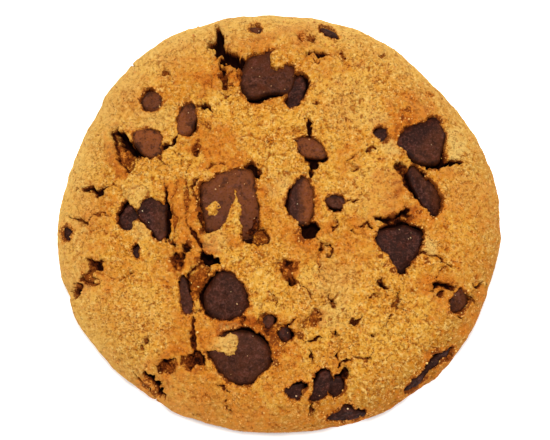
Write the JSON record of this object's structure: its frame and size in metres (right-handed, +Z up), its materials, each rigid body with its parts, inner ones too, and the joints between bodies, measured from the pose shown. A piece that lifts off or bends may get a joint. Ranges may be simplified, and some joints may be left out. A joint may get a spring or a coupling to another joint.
{
  "type": "chocolate chunk cookie",
  "caption": "Round baked cookie with a low cracked dome, a rolled rim and a flat base, its dough studded with chocolate chips and chunks that sit in open pockets.",
  "frame": {"origin": "centre of the flat base, at the middle of the bounding box", "axes": "+Z up out of the cracked top, +X along the longest width, to the right in the picture, +Y towards the top of the picture"},
  "size_m": [0.0888, 0.0855, 0.0151],
  "materials": {
    "dough": "matte, dry and crumbly",
    "chocolate": "matte with a soft sheen"
  },
  "bodies": {
    "root": {"dough": "dough", "chunk_top": "chocolate", "chunk_top_lobe": "chocolate", "chunk_right": "chocolate", "chip_right_small": "chocolate", "shard_right": "chocolate", "chunk_right_low": "chocolate", "chip_round": "chocolate", "sliver_left": "chocolate", "chip_low": "chocolate", "chunk_mid_flat": "chocolate", "chip_mid": "chocolate", "chip_mid_top": "chocolate", "chip_mid_small": "chocolate", "chip_left": "chocolate", "chip_left_top": "chocolate", "chip_round_small": "chocolate", "chip_left_mid": "chocolate", "chunk_left_mid": "chocolate", "chip_bottom_small": "chocolate", "chip_bottom": "chocolate", "chip_bottom_right": "chocolate", "chip_rim_bottom": "chocolate", "shard_rim_low": "chocolate", "chunk_rim": "chocolate", "chip_rim_right": "chocolate", "chip_top_rim": "chocolate", "chip_top_small": "chocolate", "chip_rim_left": "chocolate", "chip_by_low": "chocolate", "chip_by_low_right": "chocolate", "chip_left_low": "chocolate", "base_chip_front": "chocolate", "base_chip_left": "chocolate", "base_chip_back": "chocolate", "base_chip_right": "chocolate", "base_chip_centre": "chocolate"}
  },
  "joints": []
}
